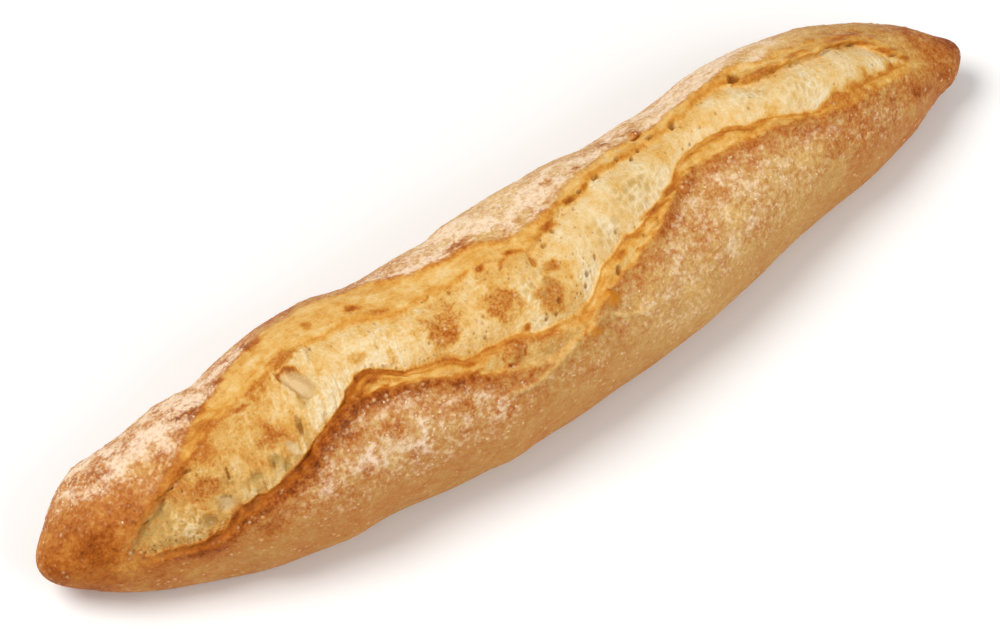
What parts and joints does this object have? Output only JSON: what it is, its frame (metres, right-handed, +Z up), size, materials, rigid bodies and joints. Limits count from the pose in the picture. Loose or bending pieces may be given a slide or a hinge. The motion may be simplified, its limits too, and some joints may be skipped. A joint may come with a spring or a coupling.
{
  "type": "baguette",
  "caption": "Small hand-shaped baguette with pointed ends, a flat base and a long diagonal opening along its crown.",
  "frame": {"origin": "on the ground, under the middle of the loaf's bounding box", "axes": "+X along the loaf, +Y to its back, +Z up; the loaf bulges towards -Y"},
  "size_m": [0.33, 0.0762, 0.0525],
  "materials": {
    "crust": "baked wheat crust, matte with a faint shine on the lips",
    "crumb": "torn open crumb, matte and porous",
    "flour": "dry flour dust, matte"
  },
  "bodies": {
    "root": {"loaf": "crust"}
  },
  "joints": []
}
